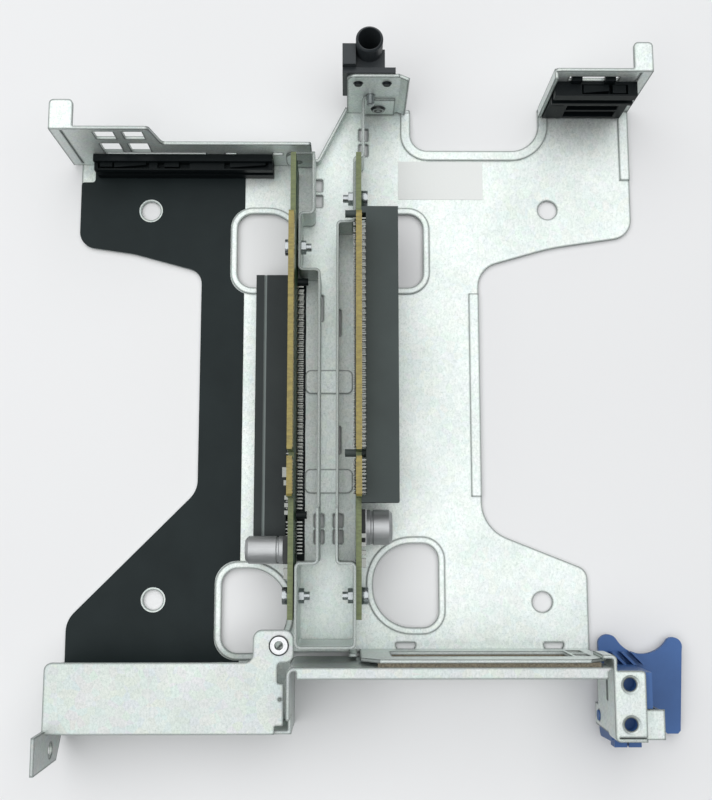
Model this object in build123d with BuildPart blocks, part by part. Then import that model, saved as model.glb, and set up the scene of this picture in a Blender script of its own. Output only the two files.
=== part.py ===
from build123d import *
import os

# Two-slot riser cage, millimetres, seen as it lies on its base plate.
# X runs across the cage, Y from the bracket end to the far end, Z up from the table.
# The origin is on the underside of the base plate, midway between the two boards,
# level with the near end of the edge tongues.

# Sheet thicknesses
base_t = 1.0
strip_t = 0.8
bracket_t = 1.0
film_t = 0.25
label_t = 0.12

# Heights above the table
cage_top = 31.0
near_wall_top = 30.0
shelf_top = 20.0
frame_low_top = 14.5
frame_high_top = 24.0
far_low_top = 18.9

# Slot housings, whose length sets where the far end of the cage lies
slot_l = 89.0
left_slot_y = -19.2
right_slot_y = -1.3
far_room = 39.8
far_left_y = left_slot_y + slot_l + far_room

# Base plate outline
wing_left = -79.4
waist_left = -40.0
waist_right = 48.6
wing_right_far = 98.4
wing_right_near = 80.9
far_centre_y = far_left_y + 18.0
far_right_y = far_left_y + 18.6
near_right_y = -46.2
near_left_y = -66.2
centre_left_x = 5.9
notch_left_x = 27.1
notch_right_x = 68.9
notch_y = far_left_y + 3.9
notch_left_radius = 5.5
notch_right_radius = 9.0
wing_corner_radius = 6.5
waist_radius = 8.0
tight_radius = 0.4

# Stepped rims and collars that stiffen the plate
rim_w = 3.2
rim_step = 0.6
collar_w = 2.0

# D-shaped windows in the plate
far_window_w = 19.0
far_window_l = 24.4
near_window_w = 20.2
near_window_l = 25.6
far_window_round = 9.2
near_window_round = 12.0
window_corner = 5.0
far_window_y = far_left_y - 29.6
near_window_y = -26.0
left_near_window_y = -33.6
left_far_window_x = -19.2
right_far_window_x = 21.5
left_near_window_x = -21.8
right_near_window_x = 24.7

# Round holes for locating pins
pin_hole_r = 3.1
left_far_hole = (-56.8, far_left_y - 16.4)
left_near_hole = (-53.0, -30.4)
right_far_hole = (71.4, far_left_y - 15.8)
right_near_hole = (66.8, -31.1)

# Riser boards
board_t = 1.6
board_left_x = -9.85
board_right_x = 10.05
board_near_y = -35.0
board_far_y = far_left_y - 4.2
board_bottom = 1.6
board_top = 21.5
tongue_top = 31.0
tongue_l = 84.3
key_from = 11.6
key_w = 1.9
tongue_corner = 0.8

# Gold pads on the tongue
pad_pitch = 1.0
pad_w = 0.7
pad_h = 4.6
pad_t = 0.05
pad_top_gap = 1.0
pad_margin = 0.9

# Slot housings in section
slot_w = 7.8
slot_depth = 9.7
slot_standoff = 1.35
slot_mouth_w = 1.9
slot_mouth_depth = 8.0
slot_short_l = 11.7
slot_key_w = 1.9
slot_end_wall = 1.75
slot_line_in = 2.9
slot_line_w = 0.7
slot_line_d = 0.35
left_slot_z = 5.8
right_slot_z = 19.4
peg_offset = 14.6
peg_end = 1.25
peg_spacing = slot_l - peg_offset - peg_end
peg_r = 1.15
peg_fit = 0.1
peg_proud = 3.3
lead_count = 40
lead_w = 0.4
lead_rows = (-3.2, -1.2, 1.2, 3.2)
left_lead_proud = 2.0
right_lead_proud = 0.8

# Capacitors and small parts
left_can_r = 4.1
left_can_l = 12.8
right_can_r = 5.3
right_can_l = 9.3
can_foot_t = 1.5
can_edge = 1.0
left_can_y = -15.1
right_can_y = -8.4
left_can_z = 14.5
right_can_z = 10.5

# Board fastenings
screw_r = 1.25
screw_head_r = 2.6
screw_head_t = 2.1
nut_r = 2.3
nut_t = 1.6
screw_fit = 0.1
screw_proud = 1.6
screw_z = 10.5
socket_r = 1.3
socket_depth = 0.9
nut_fit = 0.03
near_screw_y = -28.7
left_far_screw_y = far_left_y - 31.2
right_far_screw_y = far_left_y - 15.4

# Strip frame that stands between the boards
far_frame_left_x = -3.9
lane_left_x = -2.0
lane_right_x = 3.6
extension_right_x = 11.6
frame_bend = 1.2
frame_near_y = -42.6
left_strip_gap = 0.5
box_far_y = -18.9
step_y = -2.6
left_jog_far_y = far_left_y - 21.1
left_jog_near_y = far_left_y - 39.1
right_jog_y = far_left_y - 23.9
tab_left_l = 9.0
foot_l = 3.2
foot_rise = 0.1
tab_left_h = 12.5
tab_right_l = 10.2
tab_right_h = 11.6

# Far walls
left_tall_x = -52.6
left_step_x = -50.5
left_wall_right_x = -4.6
left_wall_left_x = -78.6
post_strip_w = 3.3
post_slit = 0.3
post_root_h = 2.0
left_tab_w = 7.1
right_tab_w = 5.8
far_tab_l = 8.3
tab_corner = 1.4
end_fold_l = 3.2
right_wall_left_x = 69.0
right_wall_right_x = 95.0

# Near walls and shelf
inner_left_x = 10.5
inner_right_x = 80.2
inner_corner_h = 5.0
inner_corner_w = 5.4
port_l = 51.8
port_left_x = 19.5
port_low = 8.0
port_high = 22.0
left_port_high = 18.0
small_port_xs = (72.6, 76.6)
small_port_zs = ((5.5, 12.0), (15.0, 21.5))
foam_t = 1.2
lip_w = 2.2
divider_x = -9.8
divider_near_y = -61.7
outer_right_x = 80.5
shelf_left_x = -80.3
shelf_far_y = -47.1
ear_left_x = -20.5
ear_right_x = -8.75
ear_far_y = -37.9
ear_notch_x = -13.4
ear_notch_y = -53.0
shelf_right_x = -11.6
shelf_step_x = -14.1
shelf_step_y = -64.8
insert_x = -13.0
insert_y = -42.3
insert_r = 2.9
insert_barrel_r = 2.1
insert_hole_r = 1.25
insert_head_t = 0.5
insert_depth = 3.0
ring_outer_r = 2.3
ring_inner_r = 1.75
ring_depth = 0.3
end_tab_l = 9.4
end_tab_low = 2.0
end_tab_slope_l = 6.8
end_tab_slope_h = 5.0
end_tab_high = 30.0
end_tab_hole_z = 13.6
end_tab_hole_r = 2.2

# Latch bracket
plate_top = 28.0
plate_x0 = 81.4
plate_x1 = 90.4
plate_far_y = -48.6
plate_near_y = -66.7
side_low = 8.0
side_far_y = -44.2
flange_l = 3.6
flange_low = 17.0
rear_low = 20.0
rear_slit = 0.3
dimple_x = 86.0
dimple_far_y = -52.4
dimple_near_y = -63.3
dimple_r = 2.7
dimple_hole_r = 1.8
dimple_drop = 0.6
wing_top = 24.4
wing_right_x = 96.4
wing_far_y = -59.7
ear_low = 4.6
ear_y = -60.4
pivot_y = -63.6
pivot_z = 9.0
pivot_r = 1.5
pivot_fit = 0.08

# Retention latch
latch_gap = 0.6
latch_wall = 1.4
hollow_gap = 3.6
blind_depth = 3.6
axle_proud = 0.4
heel_y = -70.6
heel_top = 16.6
heel_radius = 2.0
body_right_x = 92.5
body_far_y = -49.2
body_near_y = -66.0
body_low = 2.2
paddle_t = 1.8
prong_l = 2.0
prong_low = 6.0
prong_t = 4.6
prong_x = 85.3
prong_w = 3.7
prong_gap = 0.6
rib_t = 1.0
rib_count = 4
rib_pitch = 2.9
rib_lean = 3.6

# Card guides
guide_t = 4.6
left_guide_x0 = -73.6
left_guide_x1 = -17.1
left_guide_low = 1.6
left_guide_high = 11.0
right_guide_x0 = 70.3
right_guide_x1 = 95.6
right_guide_set_back = 2.0
right_guide_waist_z = 16.6
right_guide_low = 2.0
right_guide_high = 24.0
groove_w = 2.4
groove_depth = 3.0
arm_t = 1.0
wedge_rise = 1.5
wedge_tip = 0.7
left_bar_top = 9.2
pocket_floor_t = 0.7
hook_t = 0.8
peg_xs = (-64.0, -24.0)
guide_peg_z = 4.4
guide_peg_r = 1.1
guide_peg_fit = 0.1

# Guide post
post_x = 13.2
post_y = far_centre_y + 8.2
post_r = 4.1
post_bore_r = 3.4
post_top = 34.0
post_block_x0 = 5.1
post_block_x1 = 18.0
post_foot_x1 = 21.2
post_foot_t = 1.7
post_foot_high = 28.6
post_foot_low = 12.0
post_block_high = 31.0
post_shelf_high = 27.0
post_low = 1.0
post_low_r = 3.8
rivet_xs = (9.9, 18.7)
rivet_z = 23.4
rivet_r = 1.2
rivet_head_r = 1.5
rivet_head_t = 0.7
post_screw_x = 13.9
post_screw_z = 14.8
post_screw_l = 3.4
frame_rivet_x = 16.5
frame_rivet_z = 6.2
frame_rivet_r = 1.2
frame_rivet_head_r = 2.4

# Label
label_x0 = 23.1
label_x1 = 50.5
label_y0 = far_left_y - 12.4
label_y1 = far_left_y + 0.4

# Openings in the far walls, each as x from and to, z from and to
lattice_xs = (-69.6, -60.9)
lattice_w = 6.0
lattice_zs = ((23.0, 28.9), (12.5, 19.7))
left_wall_slots = [(-69.5, -38.0, 9.2, 12.0), (-31.9, -28.4, 10.2, 12.0), (-16.8, -13.8, 10.0, 12.4)]
right_wall_window = (74.2, 89.4, 24.3, 27.2)

half_board = board_t / 2
strip_low = base_t + rim_step
left_board_out = board_left_x - half_board
left_board_in = board_left_x + half_board
right_board_in = board_right_x - half_board
right_board_out = board_right_x + half_board
os.makedirs("parts", exist_ok=True)


def block(x0, x1, y0, y1, z0, z1, mode=Mode.ADD):
    """A plain block between two corners, for folds, cuts and pads."""
    with BuildSketch(Plane.XY.offset(z0)) as area:
        with Locations(((x0 + x1) / 2, (y0 + y1) / 2)):
            Rectangle(x1 - x0, y1 - y0)
    extrude(area.sketch, amount=z1 - z0, mode=mode)


def slab(outline, radii, z0, z1, mode=Mode.ADD):
    """A flat plate from an outline with rounded corners."""
    with BuildSketch(Plane.XY.offset(z0)) as area:
        with BuildLine():
            FilletPolyline(*outline, radius=radii, close=True)
        make_face()
    extrude(area.sketch, amount=z1 - z0, mode=mode)


def ribbon(route, radius, width, z0, z1):
    """Sheet standing on edge along a route."""
    with BuildSketch(Plane.XY.offset(z0)) as area:
        with BuildLine():
            FilletPolyline(*route, radius=radius)
        trace(line_width=width)
    extrude(area.sketch, amount=z1 - z0)


def upright(outline, radii, y_near, y_far, mode=Mode.ADD):
    """A wall across the cage, from its outline in X and Z."""
    with BuildSketch(Plane.XZ.offset(-y_far)) as area:
        with BuildLine():
            FilletPolyline(*outline, radius=radii, close=True)
        make_face()
    extrude(area.sketch, amount=y_far - y_near, mode=mode)


def rod(x0, x1, y, z, r, mode=Mode.ADD):
    """A round bar along X, or a hole of that shape."""
    with BuildSketch(Plane.YZ.offset(x0)) as area:
        with Locations((y, z)):
            Circle(r)
    extrude(area.sketch, amount=x1 - x0, mode=mode)


def hexagon(x0, x1, y, z, r):
    """A hexagonal bar along X."""
    with BuildSketch(Plane.YZ.offset(x0)) as area:
        with Locations((y, z)):
            RegularPolygon(r, 6)
    extrude(area.sketch, amount=x1 - x0)


def drill(places, r, z0, z1):
    """Round holes down through a plate."""
    with BuildSketch(Plane.XY.offset(z0)) as area:
        with Locations(*places):
            Circle(r)
    extrude(area.sketch, amount=z1 - z0, mode=Mode.SUBTRACT)


def top_tab(x0, x1, y):
    """A tab folded over from the top of a far wall."""
    corners = [(x0, y - base_t), (x1, y - base_t), (x1, y + far_tab_l), (x0, y + far_tab_l)]
    slab(corners, [tight_radius, tight_radius, tab_corner, tab_corner], cage_top - base_t, cage_top)


def window_outline(x, y, side, grow):
    """Corners and radii of a D window whose round side faces the boards."""
    far = y > board_near_y + tongue_l
    w = (far_window_w if far else near_window_w) / 2 + grow
    h = (far_window_l if far else near_window_l) / 2 + grow
    round_r = far_window_round if far else near_window_round
    corners = [(x + side * w, y - h), (x + side * w, y + h), (x - side * w, y + h), (x - side * w, y - h)]
    return corners, [window_corner, window_corner, round_r, round_r]


windows = [
    (left_far_window_x, far_window_y, -1),
    (right_far_window_x, far_window_y, 1),
    (left_near_window_x, left_near_window_y, -1),
    (right_near_window_x, near_window_y, 1),
]
pin_holes = [left_far_hole, left_near_hole, right_far_hole, right_near_hole]
plate_outline = [
    (wing_left, far_left_y),
    (left_wall_right_x + 2.0, far_left_y),
    (centre_left_x, far_centre_y),
    (notch_left_x, far_centre_y),
    (notch_left_x, notch_y),
    (notch_right_x, notch_y),
    (notch_right_x, far_right_y),
    (wing_right_far, far_right_y),
    (wing_right_far, far_left_y - 24.6),
    (72.0, far_left_y - 28.6),
    (waist_right, far_left_y - 35.3),
    (waist_right, -8.6),
    (wing_right_near, -21.4),
    (wing_right_near, near_right_y),
    (divider_x - bracket_t / 2, near_right_y),
    (divider_x - bracket_t / 2, near_left_y),
    (wing_left, near_left_y),
    (wing_left, -36.6),
    (waist_left, 3.0),
    (waist_left, far_left_y - 36.7),
    (-62.0, far_left_y - 30.7),
    (wing_left, far_left_y - 28.2),
]
plate_radii = [
    tight_radius, 4.0, 1.5, tight_radius, notch_left_radius, notch_right_radius, tight_radius, tight_radius,
    wing_corner_radius, 60.0, waist_radius, 12.0, 4.0, tight_radius, tight_radius, tight_radius, 1.0,
    waist_radius, waist_radius, 5.0, 40.0, 5.5,
]
tab_slots = [(-2.1, -6.2), (-2.1, -11.2), (3.8, -6.2), (3.8, -11.2), (-2.9, far_left_y - 7.8),
             (-2.9, far_left_y - 13.0), (11.8, far_centre_y - 8.6), (11.8, far_centre_y - 13.8)]
foot_slots = [(4.2, 56.5), (4.2, 18.9), (-1.4, 61.2)]
pads = [37.3, 6.0]

# Base plate, one folded sheet
with BuildPart() as base_plate:
    slab(plate_outline, plate_radii, 0, base_t)
    # Stepped collars round the D windows
    for x, y, side in windows:
        corners, radii = window_outline(x, y, side, collar_w)
        slab(corners, [r + collar_w for r in radii], base_t, base_t + rim_step)
        slab(corners, [r + collar_w for r in radii], 0, rim_step, Mode.SUBTRACT)
        corners, radii = window_outline(x, y, side, 0)
        slab(corners, radii, 0, base_t + rim_step, Mode.SUBTRACT)
    # Stepped rim round the far notch
    rim_route = [
        (notch_left_x - rim_w / 2, far_centre_y - base_t),
        (notch_left_x - rim_w / 2, notch_y - rim_w / 2),
        (notch_right_x + rim_w / 2, notch_y - rim_w / 2),
        (notch_right_x + rim_w / 2, far_right_y - base_t),
    ]
    rim_radii = [notch_left_radius + rim_w / 2, notch_right_radius + rim_w / 2]
    ribbon(rim_route, rim_radii, rim_w, base_t, base_t + rim_step)
    # Stepped rims along the right edges
    rims = [(waist_right, 1.2, far_left_y - 43.6), (wing_right_far, far_left_y - 5.8, far_right_y - base_t)]
    for edge_x, y0, y1 in rims:
        block(edge_x - rim_w, edge_x, y0, y1, base_t, base_t + rim_step)
    # Low flange along the slanted far edge
    slant = [(left_wall_right_x, far_left_y - base_t / 2), (left_wall_right_x + 1.9, far_left_y - base_t / 2),
             (centre_left_x + 0.55, far_centre_y - base_t / 2)]
    ribbon(slant, 0.9, base_t, 0, 4.0)
    # Locating windows, tab slots and raised pads in the floor
    inner_face_y = near_right_y + base_t
    for x0 in (21.6, 67.0):
        block(x0, x0 + 6.0, inner_face_y + 0.5, inner_face_y + 1.9, 0, base_t, Mode.SUBTRACT)
        block(x0 + 0.4, x0 + 5.6, inner_face_y, inner_face_y + 0.6, 0, base_t, Mode.SUBTRACT)
    for x, y in tab_slots:
        block(x - 1.5, x + 1.5, y - 2.0, y + 2.0, 0, base_t, Mode.SUBTRACT)
    for x, y in foot_slots:
        block(x - 0.4, x + 0.4, y - 4.2, y + 4.2, 0, base_t, Mode.SUBTRACT)
    for y in pads:
        corners = [(-6.6, y - 3.8), (8.4, y - 3.8), (8.4, y + 3.8), (-6.6, y + 3.8)]
        slab(corners, 1.8, base_t, base_t + rim_step)
    drill(pin_holes, pin_hole_r, 0, base_t)
base_plate.part.label = "base_plate"
export_step(base_plate.part, "parts/base_plate.step")

# Left far wall, folded up from the base, with its tall end, end post and top tab
left_wall = [(left_wall_left_x, base_t), (left_wall_right_x, base_t), (left_wall_right_x, far_low_top),
             (left_step_x, far_low_top), (left_tall_x, cage_top), (left_wall_left_x, cage_top)]
left_wall_radii = [tight_radius, tight_radius, 1.0, 1.5, 1.5, tight_radius]
left_post_x1 = left_wall_left_x - post_slit
left_post_x0 = left_post_x1 - post_strip_w
with BuildPart() as left_far_wall:
    upright(left_wall, left_wall_radii, far_left_y - base_t, far_left_y)
    block(left_post_x0, left_post_x1, far_left_y - base_t, far_left_y, base_t, cage_top)
    block(left_post_x0, left_wall_left_x + 1.0, far_left_y - base_t, far_left_y, base_t, base_t + post_root_h)
    top_tab(left_post_x0, left_post_x0 + left_tab_w, far_left_y)
    for x0 in lattice_xs:
        for z0, z1 in lattice_zs:
            block(x0, x0 + lattice_w, far_left_y - base_t, far_left_y, z0, z1, Mode.SUBTRACT)
    for x0, x1, z0, z1 in left_wall_slots:
        block(x0, x1, far_left_y - base_t, far_left_y, z0, z1, Mode.SUBTRACT)
    with BuildSketch(Plane.XZ.offset(-far_left_y)) as guide_holes:
        with Locations(*[(x, guide_peg_z) for x in peg_xs]):
            Circle(guide_peg_r + guide_peg_fit)
    extrude(guide_holes.sketch, amount=base_t, mode=Mode.SUBTRACT)
left_far_wall.part.label = "left_far_wall"
export_step(left_far_wall.part, "parts/left_far_wall.step")

# Centre flange, folded up from the base, bent at its right end
centre_wall = [(6.5, base_t), (22.6, base_t), (22.6, 27.9), (6.5, 27.9)]
bend_y = far_centre_y - base_t / 2
with BuildPart() as centre_flange:
    upright(centre_wall, [tight_radius, tight_radius, tight_radius, 2.6], far_centre_y - base_t, far_centre_y)
    ribbon([(22.0, bend_y), (22.9, bend_y), (25.4, bend_y - 1.1)], 0.5, base_t, strip_low, 27.4)
    flange_places = [(x, rivet_z) for x in rivet_xs]
    flange_places += [(frame_rivet_x, frame_rivet_z), (post_screw_x, post_screw_z)]
    with BuildSketch(Plane.XZ.offset(-far_centre_y)) as flange_holes:
        with Locations(*flange_places):
            Circle(rivet_r)
    extrude(flange_holes.sketch, amount=base_t, mode=Mode.SUBTRACT)
centre_flange.part.label = "centre_flange"
export_step(centre_flange.part, "parts/centre_flange.step")

# Right far wall, folded up from the base, with its folded left end, end post and top tab
right_wall = [(right_wall_left_x, base_t), (right_wall_right_x, base_t), (right_wall_right_x, cage_top),
              (right_wall_left_x, cage_top)]
right_post_x0 = right_wall_right_x + post_slit
right_post_x1 = right_post_x0 + post_strip_w
with BuildPart() as right_far_wall:
    upright(right_wall, [tight_radius, tight_radius, tight_radius, 1.5], far_right_y - base_t, far_right_y)
    block(right_wall_left_x, right_wall_left_x + base_t, far_right_y - end_fold_l, far_right_y, strip_low,
          cage_top - 0.6)
    block(right_post_x0, right_post_x1, far_right_y - base_t, far_right_y, base_t, cage_top)
    block(right_wall_right_x - 1.0, right_post_x1, far_right_y - base_t, far_right_y, base_t,
          base_t + post_root_h)
    top_tab(right_post_x1 - right_tab_w, right_post_x1, far_right_y)
    x0, x1, z0, z1 = right_wall_window
    block(x0, x1, far_right_y - base_t, far_right_y, z0, z1, Mode.SUBTRACT)
right_far_wall.part.label = "right_far_wall"
export_step(right_far_wall.part, "parts/right_far_wall.step")

# Near wall, folded up from the base, with its port window, and the small upright tab beside it
inner_wall = [(inner_left_x, base_t), (inner_right_x, base_t), (inner_right_x, near_wall_top - inner_corner_h),
              (inner_right_x - inner_corner_w, near_wall_top), (inner_left_x + inner_corner_w, near_wall_top),
              (inner_left_x, near_wall_top - inner_corner_h)]
with BuildPart() as near_wall:
    upright(inner_wall, tight_radius, near_right_y, near_right_y + base_t)
    block(port_left_x, port_left_x + port_l, near_right_y, near_right_y + base_t, port_low, port_high,
          Mode.SUBTRACT)
    for z0, z1 in small_port_zs:
        block(*small_port_xs, near_right_y, near_right_y + base_t, z0, z1, Mode.SUBTRACT)
    block(7.2, 9.6, near_right_y, near_right_y + base_t, base_t, 14.0)
near_wall.part.label = "near_wall"
export_step(near_wall.part, "parts/near_wall.step")

# Insulating film on the left wing
film_outline = [
    (wing_left, far_left_y - 28.2),
    (-62.0, far_left_y - 30.7),
    (waist_left, far_left_y - 36.7),
    (waist_left, 3.0),
    (wing_left, -36.6),
    (wing_left, -49.5),
    (-26.4, -49.5),
    (-26.4, far_left_y - base_t),
    (-75.0, far_left_y - base_t),
    (-75.0, far_left_y - 6.9),
    (wing_left, far_left_y - 6.9),
]
film_radii = [5.5, 40.0, 5.0, waist_radius, waist_radius, 0.5, 0.5, 0.5, 0.5, 1.0, 1.0]
with BuildPart() as insulator_film:
    slab(film_outline, film_radii, base_t, base_t + film_t)
    for x, y, side in windows:
        corners, radii = window_outline(x, y, side, collar_w + 0.25)
        slab(corners, [r + collar_w for r in radii], base_t, base_t + film_t, Mode.SUBTRACT)
    drill([left_far_hole, left_near_hole], pin_hole_r + 0.7, base_t, base_t + film_t)
insulator_film.part.label = "insulator_film"
export_step(insulator_film.part, "parts/insulator_film.step")

# Bare sticker on the right wing
with BuildPart() as label:
    block(label_x0, label_x1, label_y0, label_y1, base_t, base_t + label_t)
label.part.label = "label"
export_step(label.part, "parts/label.step")

# Strip frame: one sheet standing on edge, bent into a lane with a box at its near end
box_left_x = left_board_in + left_strip_gap + strip_t / 2
box_right_x = right_board_in - strip_t / 2
low_left = [
    (far_frame_left_x, far_left_y - base_t - strip_t / 2),
    (far_frame_left_x, left_jog_far_y),
    (box_left_x, left_jog_far_y),
    (box_left_x, left_jog_near_y),
    (lane_left_x, left_jog_near_y),
    (lane_left_x, step_y),
]
low_right = [
    (lane_right_x, step_y),
    (lane_right_x, right_jog_y),
    (box_right_x, right_jog_y),
    (box_right_x, board_far_y + frame_bend),
    (extension_right_x, board_far_y + frame_bend),
    (extension_right_x, far_centre_y - base_t - strip_t / 2),
    (extension_right_x + tab_right_l, far_centre_y - base_t - strip_t / 2),
]
box_route = [
    (lane_left_x, step_y),
    (lane_left_x, box_far_y),
    (box_left_x, box_far_y),
    (box_left_x, frame_near_y),
    (box_right_x, frame_near_y),
    (box_right_x, box_far_y),
    (lane_right_x, box_far_y),
    (lane_right_x, step_y),
]
with BuildPart() as centre_frame:
    ribbon(low_left, frame_bend, strip_t, strip_low, frame_low_top)
    ribbon(low_right, frame_bend, strip_t, strip_low, frame_low_top)
    ribbon(box_route, frame_bend, strip_t, strip_low, frame_high_top)
    # End tabs that lie against the far walls
    left_tab_x = far_frame_left_x - tab_left_l
    left_tab = [(far_frame_left_x, strip_low), (far_frame_left_x, base_t + tab_left_h),
                (left_tab_x, base_t + tab_left_h), (left_tab_x, strip_low)]
    upright(left_tab, [0.2, 0.2, 4.0, 4.0], far_left_y - base_t - strip_t, far_left_y - base_t)
    with BuildSketch(Plane.XZ.offset(-(far_left_y - base_t))) as left_tab_hole:
        with Locations((left_tab_x + 3.6, 6.2)):
            Circle(1.3)
    extrude(left_tab_hole.sketch, amount=strip_t, mode=Mode.SUBTRACT)
    with BuildSketch(Plane.XZ.offset(-(far_centre_y - base_t))) as tab_hole:
        with Locations((frame_rivet_x, frame_rivet_z)):
            Circle(frame_rivet_r)
    extrude(tab_hole.sketch, amount=strip_t, mode=Mode.SUBTRACT)
    # Feet that drop into the slots of the base
    foot_lines = [lane_left_x, lane_left_x, lane_right_x, lane_right_x, far_frame_left_x, far_frame_left_x,
                  extension_right_x, extension_right_x]
    for foot_x, (x, y) in zip(foot_lines, tab_slots):
        block(foot_x - strip_t / 2, foot_x + strip_t / 2, y - foot_l / 2, y + foot_l / 2, foot_rise, strip_low)
    # Lower top edge of the tab on the centre flange
    block(extension_right_x + frame_bend, extension_right_x + tab_right_l + strip_t,
          far_centre_y - base_t - strip_t, far_centre_y - base_t, base_t + tab_right_h, frame_low_top,
          Mode.SUBTRACT)
    # Clearance holes for the board screws
    for x, y in ((box_left_x, near_screw_y), (box_right_x, near_screw_y), (box_left_x, left_far_screw_y),
                 (box_right_x, right_far_screw_y)):
        rod(x - strip_t, x + strip_t, y, screw_z, screw_r + screw_fit, Mode.SUBTRACT)
centre_frame.part.label = "centre_frame"
export_step(centre_frame.part, "parts/centre_frame.step")

# Rear bracket: raised wall, divider, shelf and end wall, one folded sheet
outer_y = near_right_y - foam_t - bracket_t / 2
rear_y = near_left_y - bracket_t
shelf_outline = [
    (shelf_left_x, rear_y),
    (shelf_left_x, shelf_far_y),
    (ear_left_x, shelf_far_y),
    (ear_left_x, ear_far_y),
    (ear_right_x, ear_far_y),
    (ear_right_x, shelf_far_y),
    (ear_notch_x, shelf_far_y),
    (ear_notch_x, ear_notch_y),
    (shelf_right_x, ear_notch_y),
    (shelf_right_x, shelf_step_y),
    (shelf_step_x, shelf_step_y),
    (shelf_step_x, rear_y),
]
shelf_radii = [0.3, 2.2, 2.4, 2.6, 2.6, 2.2, 1.2, 0.5, 0.3, 0.6, 0.3, 0.3]
with BuildPart() as rear_bracket:
    slab(shelf_outline, shelf_radii, shelf_top - bracket_t, shelf_top)
    # Wall behind the gasket, bent into the divider
    outer_route = [(outer_right_x, outer_y), (divider_x, outer_y), (divider_x, divider_near_y)]
    ribbon(outer_route, 1.6, bracket_t, 0, near_wall_top)
    block(divider_x - bracket_t / 2, divider_x + bracket_t / 2, rear_y, divider_near_y, 0,
          shelf_top - bracket_t)
    block(divider_x + 2.3, outer_right_x - 1.0, outer_y - bracket_t / 2 - lip_w, outer_y,
          near_wall_top - bracket_t, near_wall_top)
    block(port_left_x, port_left_x + port_l, outer_y - bracket_t, outer_y + bracket_t, port_low, port_high,
          Mode.SUBTRACT)
    # Left rear wall with its port window
    block(shelf_left_x, divider_x + bracket_t / 2, rear_y, near_left_y, 0, shelf_top - bracket_t)
    left_port_x1 = shelf_left_x + (plate_x0 + bracket_t - port_left_x)
    block(left_port_x1 - port_l, left_port_x1, rear_y, near_left_y, port_low, left_port_high, Mode.SUBTRACT)
    # Left end wall and the ledge for the card bracket
    block(shelf_left_x, shelf_left_x + bracket_t, rear_y, shelf_far_y - 2.2, base_t, shelf_top - bracket_t)
    ledge = [(near_left_y, end_tab_low), (near_left_y, end_tab_high), (rear_y - end_tab_l, end_tab_high),
             (rear_y - end_tab_l, end_tab_low + end_tab_slope_h),
             (rear_y - end_tab_l + end_tab_slope_l, end_tab_low)]
    with BuildSketch(Plane.YZ.offset(shelf_left_x)) as ledge_face:
        with BuildLine():
            Polyline(*ledge, close=True)
        make_face()
        with Locations((near_left_y - 6.4, end_tab_hole_z)):
            Circle(end_tab_hole_r, mode=Mode.SUBTRACT)
    extrude(ledge_face.sketch, amount=bracket_t)
    drill([(insert_x, insert_y)], insert_barrel_r, shelf_top - bracket_t, shelf_top)
    drill([(-12.6, -57.4)], 0.5, shelf_top - bracket_t, shelf_top)
rear_bracket.part.label = "rear_bracket"
export_step(rear_bracket.part, "parts/rear_bracket.step")

# Threaded insert in the ear of the shelf
with BuildPart() as shelf_insert:
    with BuildSketch(Plane.XY.offset(shelf_top)) as insert_head:
        with Locations((insert_x, insert_y)):
            Circle(insert_r)
    extrude(insert_head.sketch, amount=insert_head_t)
    with BuildSketch(Plane.XY.offset(shelf_top)) as insert_barrel:
        with Locations((insert_x, insert_y)):
            Circle(insert_barrel_r)
    extrude(insert_barrel.sketch, amount=-insert_depth)
    drill([(insert_x, insert_y)], insert_hole_r, shelf_top - insert_depth, shelf_top + insert_head_t)
    # Ring groove in the head
    with BuildSketch(Plane.XY.offset(shelf_top + insert_head_t - ring_depth)) as ring:
        with Locations((insert_x, insert_y)):
            Circle(ring_outer_r)
            Circle(ring_inner_r, mode=Mode.SUBTRACT)
    extrude(ring.sketch, amount=ring_depth, mode=Mode.SUBTRACT)
shelf_insert.part.label = "shelf_insert"
export_step(shelf_insert.part, "parts/shelf_insert.step")

# Foam gasket between the two near walls
with BuildPart() as gasket:
    block(15.3, 77.6, near_right_y - foam_t, near_right_y, 3.0, near_wall_top - 0.4)
    block(port_left_x, port_left_x + port_l, near_right_y - foam_t, near_right_y, port_low, port_high,
          Mode.SUBTRACT)
gasket.part.label = "gasket"
export_step(gasket.part, "parts/gasket.step")

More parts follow.
